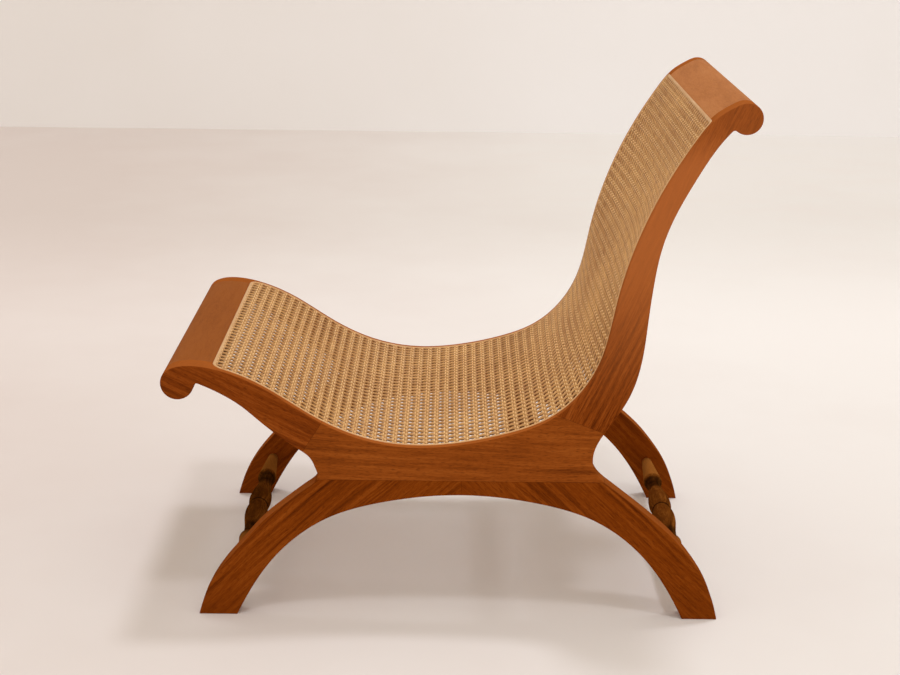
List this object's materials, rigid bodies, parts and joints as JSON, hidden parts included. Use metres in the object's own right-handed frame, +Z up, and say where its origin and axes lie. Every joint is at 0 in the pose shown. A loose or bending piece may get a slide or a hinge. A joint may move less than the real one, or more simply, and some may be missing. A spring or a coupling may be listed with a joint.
{
  "type": "lounge chair",
  "caption": "Low lounge chair with S-shaped side frames on arched legs, a woven cane seat and back in one sweep, scrolled ends and turned stretchers.",
  "frame": {"origin": "centre of the four feet's overall box on the floor: middle of the length and width, at floor level", "axes": "+X from the scrolled front to the head of the back, +Y across to the sitter's right, +Z up"},
  "size_m": [0.874, 0.545, 0.8],
  "materials": {
    "frame_wood": "satin oiled hardwood, warm brown",
    "rail_wood": "satin oiled hardwood, warm brown",
    "brace_wood": "plain hardwood",
    "joinery_wood": "plain hardwood, glued inside the joints",
    "stretcher_wood": "satin turned hardwood, dull brown",
    "woven_cane": "woven natural rattan cane",
    "reed": "smooth natural rattan reed"
  },
  "bodies": {
    "root": {"left_seat_rail": "frame_wood", "left_middle_rail": "frame_wood", "left_back_post": "frame_wood", "left_front_leg": "frame_wood", "left_rear_leg": "frame_wood", "left_seat_rail_tenon": "joinery_wood", "left_back_post_tenon": "joinery_wood", "left_front_leg_tenons": "joinery_wood", "left_rear_leg_tenons": "joinery_wood", "right_seat_rail": "frame_wood", "right_middle_rail": "frame_wood", "right_back_post": "frame_wood", "right_front_leg": "frame_wood", "right_rear_leg": "frame_wood", "right_seat_rail_tenon": "joinery_wood", "right_back_post_tenon": "joinery_wood", "right_front_leg_tenons": "joinery_wood", "right_rear_leg_tenons": "joinery_wood", "front_apron": "rail_wood", "head_rail": "rail_wood", "seat_brace": "brace_wood", "front_apron_dowels": "joinery_wood", "head_rail_dowels": "joinery_wood", "front_stretcher": "stretcher_wood", "rear_stretcher": "stretcher_wood", "cane_panel": "woven_cane", "left_reed": "reed", "right_reed": "reed", "front_reed": "reed", "head_reed": "reed"}
  },
  "joints": []
}
